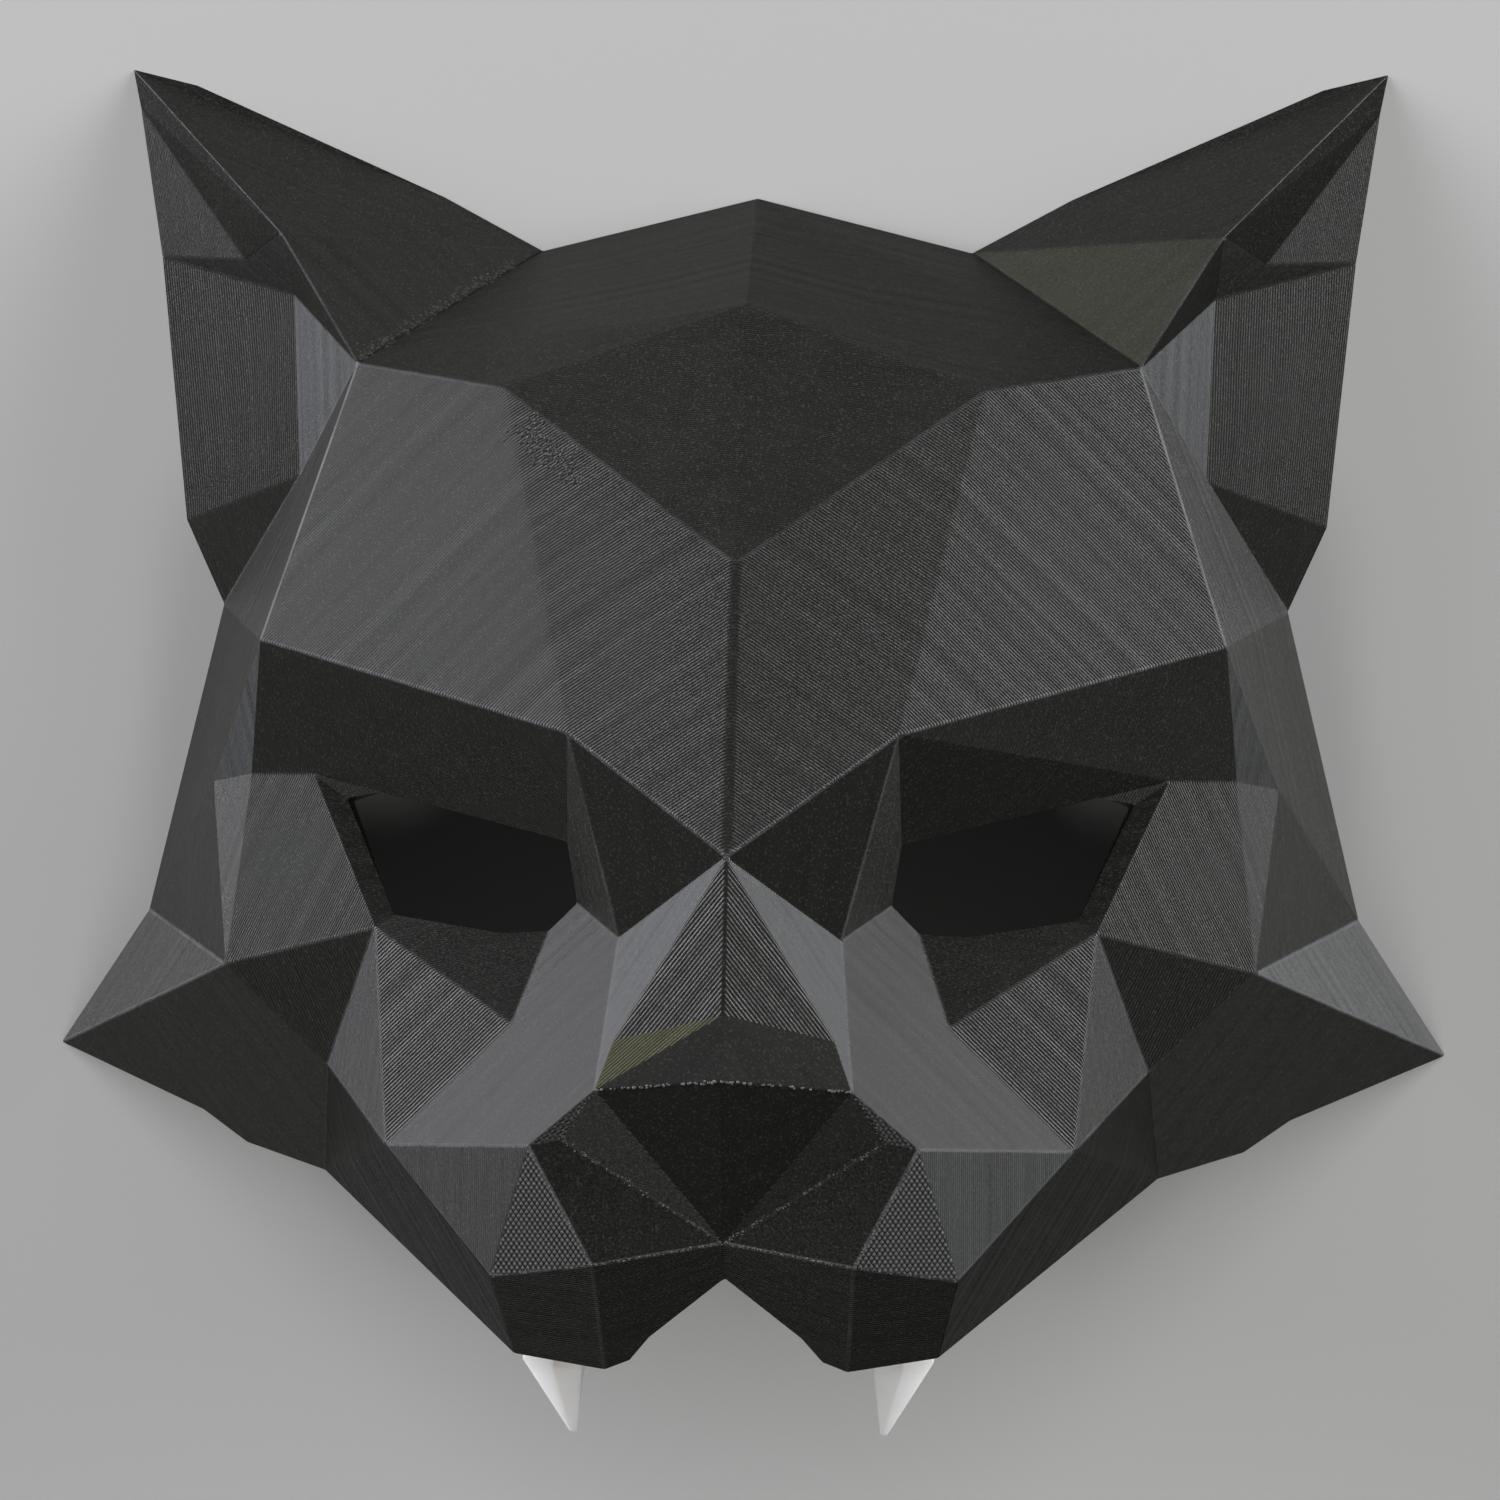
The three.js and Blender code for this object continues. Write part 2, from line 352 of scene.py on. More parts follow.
@dataclass(frozen=True)
class BlackPrint:
    """Satin black printed plastic with fine layers stacked along z."""

    name: str = "black print"
    ior: float = 1.48
    layer_m: float = 0.0002
    wander_m: float = 0.012
    wander_layers: float = 0.6
    band_scale: float = 0.17
    speckle_m: float = 0.0003
    cloud_m: float = 0.006
    tilt_low: float = -0.29
    tilt_high: float = 0.66
    flat_from: float = 0.925
    flat_to: float = 0.965
    hatch_m: float = 0.00055
    hatch_tilt: float = 0.5
    hatch_ways_deg: tuple[float, float] = (35.0, 147.0)
    grain_m: float = 0.00028
    grain_tilt: float = 0.32
    deep: Colour = (0.0024, 0.0023, 0.0014)
    worn: Colour = (0.0104, 0.0102, 0.0076)
    # Painted highlight on the facets marked pale, in streaks that follow the layer bands.
    pale: Colour = (0.0700, 0.0730, 0.0780)
    # Painted highlight on the rounded strips of the listed ridges.
    edge_highlight: Colour = (0.1000, 0.1030, 0.1080)
    fleck: Colour = (0.0260, 0.0260, 0.0210)
    fleck_m: float = 0.00030
    fleck_from: float = 0.62
    fleck_to: float = 0.76
    dot: Colour = (0.1250, 0.1300, 0.1350)
    dot_from: float = 0.15
    dot_to: float = 0.50
    # Painted reflection of a warm light on the facets marked olive.
    olive: Colour = (0.0700, 0.0710, 0.0380)
    gloss: float = 0.30
    dull: float = 0.42
    matt: float = 0.85
    wear_swing: Swing = Swing(0.5, speckle=2.4, layer=0.2, cloud=0.4)
    highlight_streak_swing: Swing = Swing(1.0, speckle=1.0, layer=0.5, band=1.6)
    edge_highlight_swing: Swing = Swing(0.6, speckle=1.2, cloud=1.6)
    dull_swing: Swing = Swing(1.0, speckle=0.6, band=0.7, cloud=0.7)
    tilt_share_swing: Swing = Swing(1.0, layer=0.3)
    tilt_swing: Swing = Swing(0.0, speckle=0.3, band=0.35)

    def material(self) -> bpy.types.Material:
        """Build the finish.

        Returns:
            The material.
        """
        sheet = Sheet(self.name)
        place, _, _, z = sheet.place()
        count = z / self.layer_m + sheet.noise(place, self.wander_m) * self.wander_layers
        pattern = self.pattern(sheet, place, count.floor())
        matt = sheet.attribute(Look.MATT.value)
        dull = pattern.swing(self.dull_swing) * (self.dull - self.gloss)
        steep = (1.0 - sheet.facing(UP).between(self.flat_from, self.flat_to)) * (1.0 - matt)
        step = count.fract() * (self.tilt_high - self.tilt_low) + self.tilt_low
        tilt = step * pattern.swing(self.tilt_share_swing) + pattern.swing(self.tilt_swing)
        changes = [self.hatch(sheet, place, way) for way in self.hatch_ways_deg]
        changes.append(self.grain(sheet, place))
        return sheet.finish(
            Base_Color=self.colour(sheet, place, pattern),
            # Facets marked shade get a dark metallic finish that takes their sheen away: painted shade.
            Metallic=sheet.attribute(Look.SHADE.value),
            Roughness=dull + self.gloss + matt * (self.matt - self.gloss),
            IOR=self.ior,
            Normal=sheet.grooved_normal(tilt * steep, UP, changes),
        )

    def pattern(self, sheet: Sheet, place: Value, layer: Value) -> Pattern:
        """Make the patterns of the print.

        Args:
            sheet: Sheet of the material.
            place: Object coordinates.
            layer: Number of the layer.

        Returns:
            The patterns.
        """
        line = {"noise_dimensions": "1D"}
        return Pattern(
            speckle=sheet.noise(place, self.speckle_m),
            layer=sheet.node("ShaderNodeTexWhiteNoise", line, {"W": layer})[0],
            band=sheet.node("ShaderNodeTexNoise", line, {"W": layer, "Scale": self.band_scale})[0],
            cloud=sheet.noise(place, self.cloud_m),
        )

    def colour(self, sheet: Sheet, place: Value, pattern: Pattern) -> Value:
        """Mix the colour of the print from its wear, flecks and hatch dots, with the painted reflection
        and painted highlights of marked facets and ridges.

        Args:
            sheet: Sheet of the material.
            place: Object coordinates.
            pattern: Patterns of the print.

        Returns:
            The colour.
        """
        flecks = sheet.noise(place, self.fleck_m, 0.0).between(self.fleck_from, self.fleck_to)
        highlight_streaks = pattern.swing(self.highlight_streak_swing)
        first, second = (self.hatch_step(sheet, place, way) for way in self.hatch_ways_deg)
        dots = (first * second).between(self.dot_from, self.dot_to)
        # Strength of the painted highlight on ridges, uneven along them.
        edge_highlight_strength = pattern.swing(self.edge_highlight_swing)
        colour = sheet.mix(pattern.swing(self.wear_swing), self.deep, self.worn)
        colour = sheet.mix(flecks, colour, self.fleck)
        # Painted reflection of a warm light on the facets marked olive.
        colour = sheet.mix(sheet.attribute(Look.OLIVE.value), colour, self.olive)
        # Painted highlight on the facets marked pale.
        colour = sheet.mix(sheet.attribute(Look.PALE.value) * highlight_streaks, colour, self.pale)
        colour = sheet.mix(sheet.attribute(Look.HATCH.value) * dots, colour, self.dot)
        # Painted highlight on the rounded strips of the listed ridges.
        return sheet.mix(sheet.attribute(Look.EDGE.value) * edge_highlight_strength, colour, self.edge_highlight)

    def grain(self, sheet: Sheet, place: Value) -> Value:
        """Fine uneven skin of the print.

        Args:
            sheet: Sheet of the material.
            place: Object coordinates.

        Returns:
            The change of the normal.
        """
        sockets = {"Vector": place, "Scale": 1.0 / self.grain_m, "Detail": 1.0}
        cloud = sheet.node("ShaderNodeTexNoise", {}, sockets)[1]
        centred = sheet.vector("SUBTRACT", cloud, (HALF, HALF, HALF))[0]
        return sheet.vector("SCALE", centred, scale=self.grain_tilt)[0]

    def hatch(self, sheet: Sheet, place: Value, way_deg: float) -> Value:
        """Lines of the top skin, which only show on the facets marked for them.

        Args:
            sheet: Sheet of the material.
            place: Object coordinates.
            way_deg: Direction across the lines, in the plane of the floor.

        Returns:
            The change of the normal.
        """
        step = self.hatch_step(sheet, place, way_deg)
        tilt = (step - HALF) * (2.0 * self.hatch_tilt) * sheet.attribute(Look.HATCH.value)
        return sheet.vector("SCALE", self.level_way(way_deg), scale=tilt)[0]

    def hatch_step(self, sheet: Sheet, place: Value, way_deg: float) -> Value:
        """Place across one line of the hatch, from 0 to 1."""
        return (sheet.vector("DOT_PRODUCT", place, self.level_way(way_deg))[1] / self.hatch_m).fract()

    @staticmethod
    def level_way(way_deg: float) -> Point:
        """Unit vector of a direction in the plane of the floor."""
        return (math.cos(math.radians(way_deg)), math.sin(math.radians(way_deg)), 0.0)


# The pale colour of the layer ends is a painted glint.
GLINTING_PRINT = BlackPrint("layer ends", deep=(0.015, 0.015, 0.014), worn=(0.26, 0.26, 0.25))
ROUGH_PRINT = BlackPrint("rough print", deep=(0.008, 0.008, 0.007), worn=(0.045, 0.045, 0.042))


@dataclass(frozen=True)
class WhitePrint:
    """White printed plastic that lets some light in, with painted shade, a little warmer and darker, where
    it goes behind the lip.
    """

    layer_m: float = 0.0002
    tilt: float = 0.22
    bright: Colour = (0.96, 0.96, 0.955)
    # Painted shade under the lip, warmer and darker than the rest.
    lip_shade: Colour = (0.89, 0.88, 0.86)
    lip_shade_from_m: float = -0.0805
    lip_shade_to_m: float = -0.0775
    lip_shade_wander_m: float = 0.0012
    cloud_m: float = 0.0015
    roughness: float = 0.42
    roughness_swing: float = 0.14
    depth_share: float = 0.7
    depth_m: Point = (0.0030, 0.0026, 0.0022)

    def material(self) -> bpy.types.Material:
        """Build the finish.

        Returns:
            The material.
        """
        sheet = Sheet("white print")
        place, _, y, _ = sheet.place()
        tilt = ((y / self.layer_m).fract() - HALF) * (2.0 * self.tilt)
        cloud = sheet.noise(place, self.cloud_m)
        # Painted shade on the part behind the lip, with a wandering border.
        border = y + (cloud - HALF) * self.lip_shade_wander_m
        lip_shading = border.between(self.lip_shade_from_m, self.lip_shade_to_m)
        return sheet.finish(
            Base_Color=sheet.mix(lip_shading, self.bright, self.lip_shade),
            Roughness=cloud * self.roughness_swing + self.roughness,
            Subsurface_Weight=self.depth_share,
            Subsurface_Radius=self.depth_m,
            Subsurface_Scale=1.0,
            Normal=sheet.grooved_normal(tilt, (0.0, 1.0, 0.0), []),
        )


@dataclass(frozen=True)
class PaleFloor:
    """Plain pale paper."""

    colour: Colour = (0.54, 0.537, 0.53)
    roughness: float = 0.9

    def material(self) -> bpy.types.Material:
        """Build the finish."""
        return Sheet("pale floor").finish(Base_Color=(*self.colour, 1.0), Roughness=self.roughness)


def merged_copy(node: str) -> bmesh.types.BMesh:
    """Copy a CAD node's mesh and merge its loose triangles.

    Args:
        node: Name of the CAD node.

    Returns:
        The merged mesh.
    """
    mesh = bmesh.new()
    mesh.from_mesh(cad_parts[node].data)
    bmesh.ops.remove_doubles(mesh, verts=mesh.verts, dist=MERGE_M)
    return mesh


def join_flat(mesh: bmesh.types.BMesh, flat_deg: float) -> None:
    """Join the triangles of each flat facet.

    Args:
        mesh: The mesh.
        flat_deg: Angle between faces up to which they are one facet.
    """
    limit = math.radians(flat_deg)
    bmesh.ops.dissolve_limit(
        mesh, angle_limit=limit, use_dissolve_boundaries=False, verts=mesh.verts, edges=mesh.edges
    )


def placed(
    mesh: bmesh.types.BMesh, name: str, material: bpy.types.Material
) -> bpy.types.Object:
    """Turn a mesh into a finished piece of the mask.

    Args:
        mesh: The mesh, which is freed.
        name: Name of the piece.
        material: Its finish.

    Returns:
        The piece, riding on the mask's one body.
    """
    data = bpy.data.meshes.new(name)
    for face in mesh.faces:
        face.smooth = True
        face.material_index = 0
    mesh.to_mesh(data)
    mesh.free()
    for stray in ("custom_normal", "UVMap"):
        if stray in data.attributes:
            data.attributes.remove(data.attributes[stray])
    data.materials.clear()
    data.materials.append(material)
    piece = bpy.data.objects.new(name, data)
    bpy.context.scene.collection.objects.link(piece)
    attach(piece, ROOT)
    log.info("%s: %d faces", name, len(data.polygons))
    return piece


def round_edges(piece: bpy.types.Object, width: float, flat: bool) -> None:
    """Round the weighted edges of a piece.

    Args:
        piece: The piece, with edge weights set.
        width: Width of the rounding at weight 1.
        flat: Whether the facets stay flat, or shade into each other.
    """
    bevel = piece.modifiers.new("edge rounding", "BEVEL")
    bevel.limit_method = "WEIGHT"
    bevel.offset_type = "OFFSET"
    bevel.width = width
    bevel.segments = ROUNDING_SEGMENTS
    bevel.harden_normals = flat
    bevel.use_clamp_overlap = True


def settle(piece: bpy.types.Object) -> bpy.types.Mesh:
    """Make the rounding part of a piece's mesh, without the edges of no length that it leaves.

    Args:
        piece: The piece with its rounding.

    Returns:
        The piece's new mesh.
    """
    rounded = piece.evaluated_get(bpy.context.evaluated_depsgraph_get())
    data = bpy.data.meshes.new_from_object(rounded)
    mesh = bmesh.new()
    mesh.from_mesh(data)
    bmesh.ops.dissolve_degenerate(mesh, dist=LEAST_EDGE_M, edges=mesh.edges)
    mesh.to_mesh(data)
    mesh.free()
    piece.modifiers.clear()
    piece.data = data
    log.info("%s rounded: %d faces", piece.name, len(data.polygons))
    return data


def weigh_edges(mesh: bmesh.types.BMesh, sharp_deg: float) -> bmesh.types.BMLayerItem:
    """Give every real edge the full rounding weight.

    Args:
        mesh: The mesh.
        sharp_deg: Angle between faces above which an edge is real.

    Returns:
        The layer that holds the weights.
    """
    weight = mesh.edges.layers.float.new("bevel_weight_edge")
    for edge in mesh.edges:
        real = edge.is_manifold and edge.calc_face_angle() > math.radians(sharp_deg)
        edge[weight] = 1.0 if real else 0.0
    return weight


@dataclass
class Shell:
    """The printed face: flat facets, rounded edges and a softer ridge down the forehead."""

    node: str = "mask_shell"
    flat_deg: float = 4.9
    rounding_m: float = 0.9 * MM
    edge_share: float = 0.3
    highlight_reach_m: float = 0.6 * MM
    rim_share: float = 0.13
    rim_width_m: float = 3.2 * MM
    rim_top_m: float = 0.3 * MM
    middle_reach_m: float = 0.1 * MM
    middle_from_m: float = 51.0 * MM
    ridge_top_m: float = 21.5 * MM
    ridge_foot_m: float = -15.5 * MM
    nose_top_m: float = -14.5 * MM
    nose_foot_m: float = -34.5 * MM
    nose_share: float = 0.4
    fold_reach_m: float = 0.2 * MM
    # Folds that don't show on the mask, where the facets beside them are joined.
    # Columns: facet, start and end in mm on the right half.
    hidden_folds: tuple[tuple[str, Point, Point], ...] = (
        ("crown", (28.0, 63.0, 0.0), (30.5, 43.5, 33.0)),
        ("ear back", (60.5, 64.0, 18.5), (73.5, 84.5, 0.0)),
        ("nose side", (13.7, -25.3, 59.0), (13.4, -37.3, 71.6)),
    )
    # Ridges whose rounded strips carry a painted highlight. Columns: ridge, start and end in mm on the
    # right half, strength.
    highlighted_ridges: tuple[tuple[str, Point, Point, float], ...] = (
        ("ear ridge, upper", (82.0, 86.5, 0.0), (60.5, 64.0, 18.5), 0.9),
        ("ear ridge, lower", (60.5, 64.0, 18.5), (50.0, 47.0, 23.3), 0.9),
        ("forehead end", (50.0, 47.0, 23.3), (61.0, 11.5, 34.0), 1.0),
        ("forehead top", (50.0, 47.0, 23.3), (30.5, 43.5, 33.0), 0.4),
        ("forehead peak", (30.5, 43.5, 33.0), (0.0, 21.0, 53.0), 0.25),
        ("brow", (61.0, 11.5, 34.0), (20.5, 0.0, 56.5), 0.5),
        ("brow, inner", (20.5, 0.0, 56.5), (0.0, -15.0, 70.0), 0.6),
        ("brow side", (20.5, 0.0, 56.5), (13.7, -25.3, 59.0), 0.3),
        ("eye, outer", (54.0, -5.5, 34.5), (45.0, -24.5, 46.0), 0.4),
        ("eye, lower", (45.0, -24.5, 46.0), (27.0, -36.0, 57.2), 0.3),
        ("cheek top", (79.0, -23.5, 0.0), (65.0, -29.5, 34.8), 0.4),
        ("cheek", (90.4, -41.0, 0.0), (65.0, -29.5, 34.8), 0.5),
        ("cheek, inner", (65.0, -29.5, 34.8), (45.0, -24.5, 46.0), 0.3),
        ("cheek, light", (45.0, -24.5, 46.0), (51.5, -42.0, 38.5), 0.4),
        ("cheek, light foot", (51.5, -42.0, 38.5), (42.5, -51.0, 57.2), 0.5),
        ("muzzle shoulder", (23.7, -50.2, 72.4), (42.5, -51.0, 57.2), 0.3),
        ("muzzle side", (42.5, -51.0, 57.2), (28.5, -66.3, 68.6), 0.4),
        ("muzzle edge", (23.7, -50.2, 72.4), (15.9, -64.7, 71.2), 0.9),
        ("muzzle foot", (15.9, -64.7, 71.2), (28.5, -66.3, 68.6), 0.5),
        ("lip", (0.0, -62.0, 68.9), (15.9, -64.7, 71.2), 0.6),
        ("lip fold", (15.9, -64.7, 71.2), (14.9, -78.2, 60.6), 0.25),
        ("nose side", (13.7, -25.3, 59.0), (15.6, -43.3, 73.5), 0.4),
    )
    # Facets that carry painted light or whose print differs from the rest: olive is a painted reflection,
    # pale a painted highlight, shade painted shade, matt and hatch the print's own. Columns: facet, middle
    # in mm on the right half, look, strength on the right, strength on the left.
    odd_facets: tuple[tuple[str, Point, Look, float, float], ...] = (
        ("ear back", (46.2, 58.0, 13.9), Look.OLIVE, 0.2, 0.0),
        ("ear back", (46.2, 58.0, 13.9), Look.SHADE, 0.65, 0.6),
        ("ear back, upper", (56.7, 73.6, 3.7), Look.SHADE, 0.4, 0.3),
        ("ear wall, tip", (74.5, 77.3, 6.2), Look.SHADE, 0.7, 0.5),
        ("ear wall, upper", (69.2, 68.8, 9.5), Look.SHADE, 0.7, 0.5),
        ("ear wall, lower", (56.7, 55.8, 17.6), Look.SHADE, 0.6, 0.3),
        ("ear root", (56.0, 45.5, 15.2), Look.PALE, 0.5, 0.55),
        ("ear pit", (66.0, 60.9, 9.9), Look.PALE, 0.0, 0.12),
        ("ear floor", (67.6, 44.8, 5.6), Look.SHADE, 0.09, 0.16),
        ("ear foot", (67.5, 25.7, 3.7), Look.SHADE, 0.3, 0.15),
        ("crown", (21.7, 55.6, 16.8), Look.OLIVE, 0.0, 0.03),
        ("crown", (21.7, 55.6, 16.8), Look.SHADE, 0.48, 0.4),
        ("forehead side", (40.5, 25.5, 36.7), Look.SHADE, 0.1, 0.1),
        ("brow, under", (49.5, 0.1, 38.5), Look.SHADE, 0.4, 0.45),
        ("brow side", (11.4, -13.4, 61.8), Look.MATT, 1.0, 1.0),
        ("brow side", (11.4, -13.4, 61.8), Look.SHADE, 0.45, 0.4),
        ("eyelid", (35.1, -6.7, 44.8), Look.SHADE, 0.7, 0.4),
        ("beside the eye", (56.6, -16.2, 36.1), Look.SHADE, 0.45, 0.45),
        ("temple, upper", (59.8, 27.0, 17.1), Look.SHADE, 0.0, 0.42),
        ("temple", (63.8, -0.2, 28.8), Look.PALE, 0.3, 0.42),
        ("temple, narrow", (65.2, -13.8, 29.1), Look.SHADE, 0.25, 0.0),
        ("temple side", (69.4, -0.5, 14.4), Look.SHADE, 0.35, 0.7),
        ("temple, lower", (70.7, -19.8, 19.4), Look.SHADE, 0.5, 0.55),
        ("cheek, upper", (78.1, -31.3, 11.6), Look.SHADE, 0.0, 0.33),
        ("cheek, upper", (78.1, -31.3, 11.6), Look.PALE, 0.2, 0.0),
        ("cheek, light", (46.3, -39.2, 47.2), Look.PALE, 0.0, 0.12),
        ("cheek, under", (53.8, -32.0, 39.8), Look.SHADE, 0.45, 0.4),
        ("cheek, lower", (69.0, -37.5, 24.4), Look.SHADE, 0.24, 0.19),
        ("jaw, upper", (49.0, -49.7, 40.5), Look.SHADE, 0.8, 0.9),
        ("jaw, lower", (37.5, -62.4, 53.2), Look.SHADE, 1.0, 1.0),
        ("nose side", (10.7, -30.2, 68.5), Look.PALE, 0.3, 0.42),
        ("nose top corner", (9.7, -38.2, 73.6), Look.OLIVE, 0.0, 0.55),
        ("nose top corner", (9.7, -38.2, 73.6), Look.SHADE, 0.0, 0.7),
        ("nose top corner", (9.7, -38.2, 73.6), Look.MATT, 1.0, 0.2),
        ("nose top", (5.2, -39.8, 75.4), Look.MATT, 1.0, 1.0),
        ("nose top", (5.2, -39.8, 75.4), Look.PALE, 0.08, 0.05),
        ("nose front", (5.2, -49.1, 73.2), Look.MATT, 1.0, 1.0),
        ("nose front", (5.2, -49.1, 73.2), Look.SHADE, 0.2, 0.15),
        ("nose flank", (11.8, -51.6, 71.4), Look.SHADE, 0.5, 0.2),
        ("nose wing", (19.7, -47.6, 72.6), Look.HATCH, 0.7, 0.5),
        ("muzzle front", (22.7, -60.4, 70.7), Look.HATCH, 1.0, 1.0),
        ("muzzle front", (22.7, -60.4, 70.7), Look.PALE, 0.08, 0.08),
        ("muzzle side", (31.6, -55.8, 66.1), Look.PALE, 0.35, 0.2),
        ("upper lip", (14.8, -56.6, 71.1), Look.SHADE, 0.6, 0.57),
        ("lip, outer", (21.3, -71.4, 65.4), Look.SHADE, 0.5, 0.3),
        ("lip, inner", (8.6, -70.4, 64.8), Look.SHADE, 0.4, 0.52),
    )

    def build(self, material: bpy.types.Material) -> bpy.types.Object:
        """Build and dress the shell.

        Args:
            material: Finish of the print.

        Returns:
            The piece that stands for the CAD shell.
        """
        mesh = merged_copy(self.node)
        join_flat(mesh, self.flat_deg)
        self.flatten(mesh)
        self.weigh(mesh)
        self.mark(mesh)
        piece = placed(mesh, "shell_print", material)
        round_edges(piece, self.rounding_m, flat=True)
        self.mark_edge_highlights(piece)
        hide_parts(self.node)
        return piece

    def flatten(self, mesh: bmesh.types.BMesh) -> None:
        """Join the parts of facets that a fold divides.

        Args:
            mesh: The shell's mesh.
        """
        for name, start, end in self.hidden_folds:
            for side in Side:
                ends = [Vector((x * side.value, y, z)) * MM for x, y, z in (start, end)]
                near = [edge for edge in mesh.edges if self.spans(edge, ends)]
                bmesh.ops.dissolve_edges(mesh, edges=near)
                log.info("%s fold, %s: %d joined", name, side.name.lower(), len(near))

    def spans(self, edge: bmesh.types.BMEdge, ends: list[Vector]) -> bool:
        """Tell whether an edge runs between two points.

        Args:
            edge: The edge.
            ends: The two points.

        Returns:
            Whether it does, in either direction.
        """
        first, second = (vert.co for vert in edge.verts)
        reach = min((first - a).length + (second - b).length for a, b in (ends, ends[::-1]))
        return reach < self.fold_reach_m

    def weigh(self, mesh: bmesh.types.BMesh) -> None:
        """Set how wide each edge is rounded, the forehead ridge most.

        Args:
            mesh: The shell's mesh.
        """
        weight = weigh_edges(mesh, self.flat_deg)
        for edge in mesh.edges:
            ends = [vert.co for vert in edge.verts]
            on_back = all(co.z < self.rim_top_m for co in ends)
            on_rim = on_back or any(map(self.is_rim, edge.link_faces))
            edge[weight] *= self.rim_share if on_rim else self.edge_share
            in_middle = all(abs(co.x) < self.middle_reach_m for co in ends)
            in_front = all(co.z > self.middle_from_m for co in ends)
            if not (in_middle and in_front):
                continue
            lowest = min(co.y for co in ends)
            highest = max(co.y for co in ends)
            if lowest > self.ridge_foot_m and highest < self.ridge_top_m:
                edge[weight] = 1.0
            elif lowest > self.nose_foot_m and highest < self.nose_top_m:
                edge[weight] = self.nose_share

    def skin(self) -> BVHTree:
        """Make the bare shell's surface ready for finding places on it.

        Returns:
            The surface.
        """
        mesh = merged_copy(self.node)
        surface = BVHTree.FromBMesh(mesh)
        mesh.free()
        return surface

    def mark_edge_highlights(self, piece: bpy.types.Object) -> None:
        """Make the rounding part of the mesh and mark its strips for a painted highlight on the listed
        ridges.

        Args:
            piece: The shell with its rounding.
        """
        piece.data.materials.append(piece.data.materials[0])
        piece.modifiers[0].material = 1
        data = settle(piece)
        edge = data.attributes[Look.EDGE.value]
        for face in data.polygons:
            if face.material_index == 1:
                edge.data[face.index].value = self.edge_highlight_strength(face.center)
            face.material_index = 0
        data.materials.pop(index=1)

    def edge_highlight_strength(self, at: Vector) -> float:
        """How strong the painted highlight is at a place on an edge.

        Args:
            at: The place.

        Returns:
            Strength of the ridge that the place lies on, or 0.
        """
        mirrored = Vector((abs(at.x), at.y, at.z))
        for _, start, end, strength in self.highlighted_ridges:
            near, share = intersect_point_line(mirrored, Vector(start) * MM, Vector(end) * MM)
            if 0.0 <= share <= 1.0 and (mirrored - near).length < self.highlight_reach_m:
                return strength
        return 0.0

    def is_rim(self, face: bmesh.types.BMFace) -> bool:
        """Whether a face is the narrow cut edge of the wall."""
        return face.calc_area() / max(edge.calc_length() for edge in face.edges) < self.rim_width_m

    def mark(self, mesh: bmesh.types.BMesh) -> None:
        """Mark the facets whose print differs or that carry painted highlight, reflection or shade.

        Args:
            mesh: The shell's mesh.
        """
        layers = {look: mesh.faces.layers.float.new(look.value) for look in Look}
        for name, (x, y, z), look, right, left in self.odd_facets:
            for side, strength in ((Side.RIGHT, right), (Side.LEFT, left)):
                target = Vector((x * side.value, y, z)) * MM
                facet = min(mesh.faces, key=lambda face: (face.calc_center_median() - target).length)
                facet[layers[look]] = strength
                away = (facet.calc_center_median() - target).length / MM
                log.info("%s, %s: %.1f mm off", name, side.name.lower(), away)


Row = tuple[str, Point, Point, int, float, float, tuple[Side, ...]]


@dataclass
class LayerEnds:
    """Small ends of printed layers along edges, and rough spots of the print."""

    name: str
    # Columns: edge, start and end in mm on the right half, ends, size and spread in mm, sides.
    rows: tuple[Row, ...]
    thickness: float = 0.7
    length: float = 1.2
    least_share: float = 0.5
    drift_share: float = 0.6
    seed: int = 7

    def build(self, material: bpy.types.Material, skin: BVHTree) -> bpy.types.Object:
        """Build the layer ends of both halves as one piece.

        Args:
            material: Finish of the ends.
            skin: Surface of the shell that the ends sit on.

        Returns:
            The piece.
        """
        chance = random.Random(self.seed)
        whole = bmesh.new()
        for _, start, end, count, size, spread, sides in self.rows:
            mesh = bmesh.new()
            for side in sides:
                for _ in range(count):
                    at = Vector(start).lerp(Vector(end), chance.random()) * MM
                    at.x *= side.value
                    drift = Vector([chance.gauss(0.0, spread) for _ in range(3)])
                    place = self.seat(skin, at, drift * (self.drift_share * MM))
                    self.bead(mesh, place, size * MM * chance.uniform(self.least_share, 1.0))
            row = bpy.data.meshes.new("row")
            mesh.to_mesh(row)
            mesh.free()
            whole.from_mesh(row)
            bpy.data.meshes.remove(row)
        return placed(whole, self.name, material)

    @staticmethod
    def seat(skin: BVHTree, at: Vector, drift: Vector) -> Vector:
        """Find the place on the shell that a bead drifts to.

        Args:
            skin: Surface of the shell.
            at: Place on the edge.
            drift: How far the bead is from it, of which the part along the surface counts.

        Returns:
            The bead's place.
        """
        foot, normal, _, _ = skin.find_nearest(at)
        return skin.find_nearest(foot + drift - normal * drift.dot(normal))[0]

    def bead(self, mesh: bmesh.types.BMesh, at: Vector, size: float) -> None:
        """Add one flattened bead.

        Args:
            mesh: Mesh that takes the bead.
            at: Its middle.
            size: Its radius.
        """
        shape = Matrix.Diagonal((size * self.length, size, size * self.thickness, 1.0))
        placing = Matrix.Translation(at) @ shape
        bmesh.ops.create_icosphere(mesh, subdivisions=1, radius=1.0, matrix=placing)


